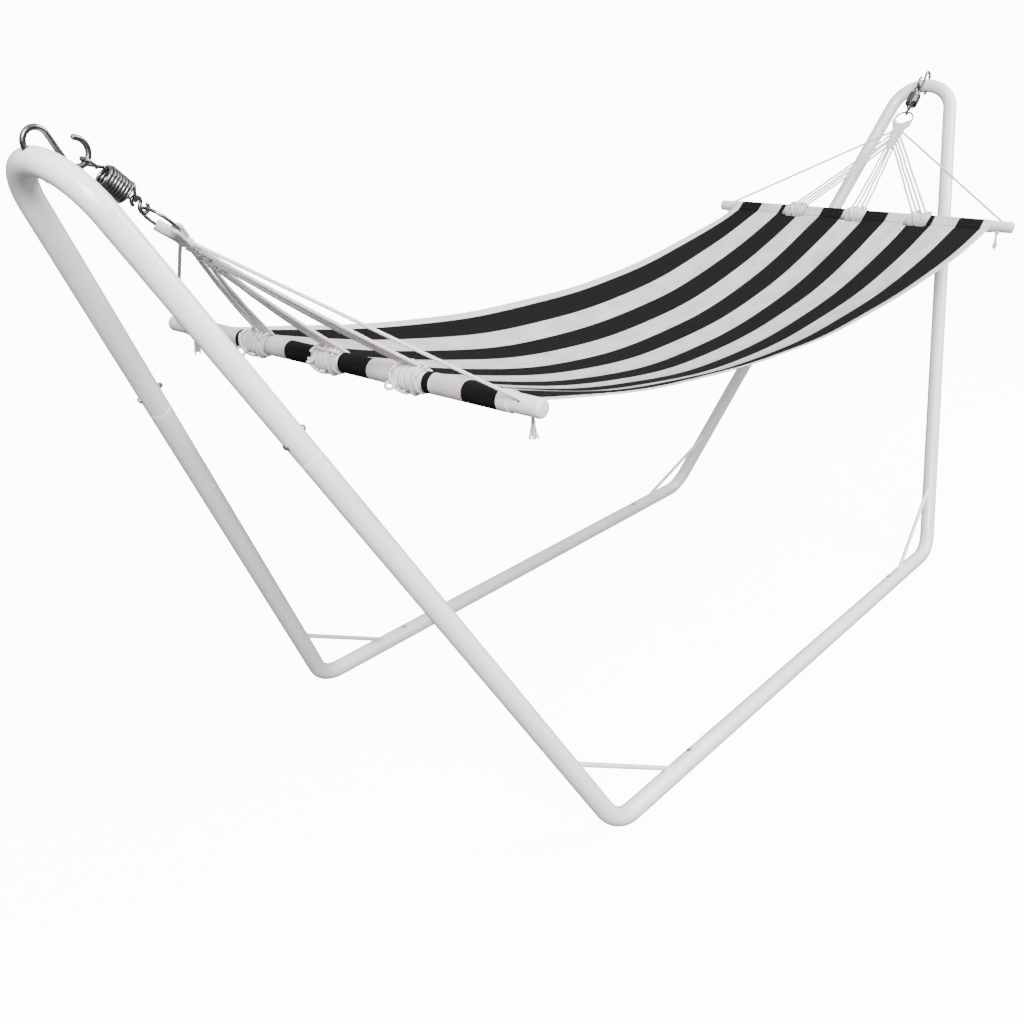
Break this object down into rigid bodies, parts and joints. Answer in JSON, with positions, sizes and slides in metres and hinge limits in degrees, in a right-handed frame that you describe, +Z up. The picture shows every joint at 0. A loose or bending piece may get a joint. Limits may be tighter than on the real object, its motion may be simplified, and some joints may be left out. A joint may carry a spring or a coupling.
{
  "type": "hammock on stand",
  "caption": "Striped fabric hammock with two wooden spreader bars, hung on hooks and springs between the leaning arches of a white tubular steel stand.",
  "frame": {"origin": "on the floor under the middle of the stand", "axes": "+X along the hammock, +Y across it to the rear rail, +Z up"},
  "size_m": [2.9718, 0.9, 1.2973],
  "materials": {
    "powder_coat": "white powder coat, satin",
    "bright_steel": "bright plated steel wire",
    "zinc": "zinc-plated steel",
    "cotton_cord": "twisted natural cotton cord",
    "painted_wood": "white painted hardwood, matt",
    "striped_fabric": "charcoal and off-white striped woven cotton",
    "white_binding": "off-white cotton binding"
  },
  "bodies": {
    "stand": {"arch_left": "powder_coat", "arch_right": "powder_coat", "brace_front_left": "powder_coat", "brace_front_right": "powder_coat", "brace_rear_left": "powder_coat", "brace_rear_right": "powder_coat", "corner_tube_front_left": "powder_coat", "corner_tube_front_right": "powder_coat", "corner_tube_rear_left": "powder_coat", "corner_tube_rear_right": "powder_coat", "leg_bolt_front_left": "zinc", "leg_bolt_front_right": "zinc", "leg_bolt_rear_left": "zinc", "leg_bolt_rear_right": "zinc", "leg_nut_front_left": "zinc", "leg_nut_front_right": "zinc", "leg_nut_rear_left": "zinc", "leg_nut_rear_right": "zinc", "rail_front": "powder_coat", "rail_rear": "powder_coat", "rail_screw_front_left": "zinc", "rail_screw_front_right": "zinc", "rail_screw_rear_left": "zinc", "rail_screw_rear_right": "zinc"},
    "hooks": {"s_hook_left": "bright_steel", "s_hook_right": "bright_steel"},
    "springs": {"spring_left": "bright_steel", "spring_right": "bright_steel"},
    "hammock": {"bed_fabric": "striped_fabric", "clew_left": "cotton_cord", "clew_right": "cotton_cord", "cord_bundle_front_left": "cotton_cord", "cord_bundle_front_right": "cotton_cord", "cord_bundle_middle_left": "cotton_cord", "cord_bundle_middle_right": "cotton_cord", "cord_bundle_rear_left": "cotton_cord", "cord_bundle_rear_right": "cotton_cord", "edge_cord_front_left": "cotton_cord", "edge_cord_front_right": "cotton_cord", "edge_cord_rear_left": "cotton_cord", "edge_cord_rear_right": "cotton_cord", "hem_front": "white_binding", "hem_rear": "white_binding", "link_hook_left": "bright_steel", "link_hook_right": "bright_steel", "ring_left": "bright_steel", "ring_right": "bright_steel", "spreader_bar_left": "painted_wood", "spreader_bar_right": "painted_wood"}
  },
  "joints": [
    {"name": "hook_rock", "type": "hinge", "parent": "stand", "child": "hooks", "pos_m": [0, 0, 1.253], "axis": [1, 0, 0], "range_deg": [-2.5, 2.5]},
    {"name": "swing", "type": "hinge", "parent": "hooks", "child": "springs", "pos_m": [0, 0, 1.2479], "axis": [1, 0, 0], "range_deg": [-45, 45]},
    {"name": "load_drop", "type": "slide", "parent": "springs", "child": "hammock", "axis": [0, 0, -1], "range_m": [0, 0.03], "stiffness_N_per_m": 27000, "springref_m": -0.004, "deforming": ["spring_left", "spring_right"]}
  ]
}
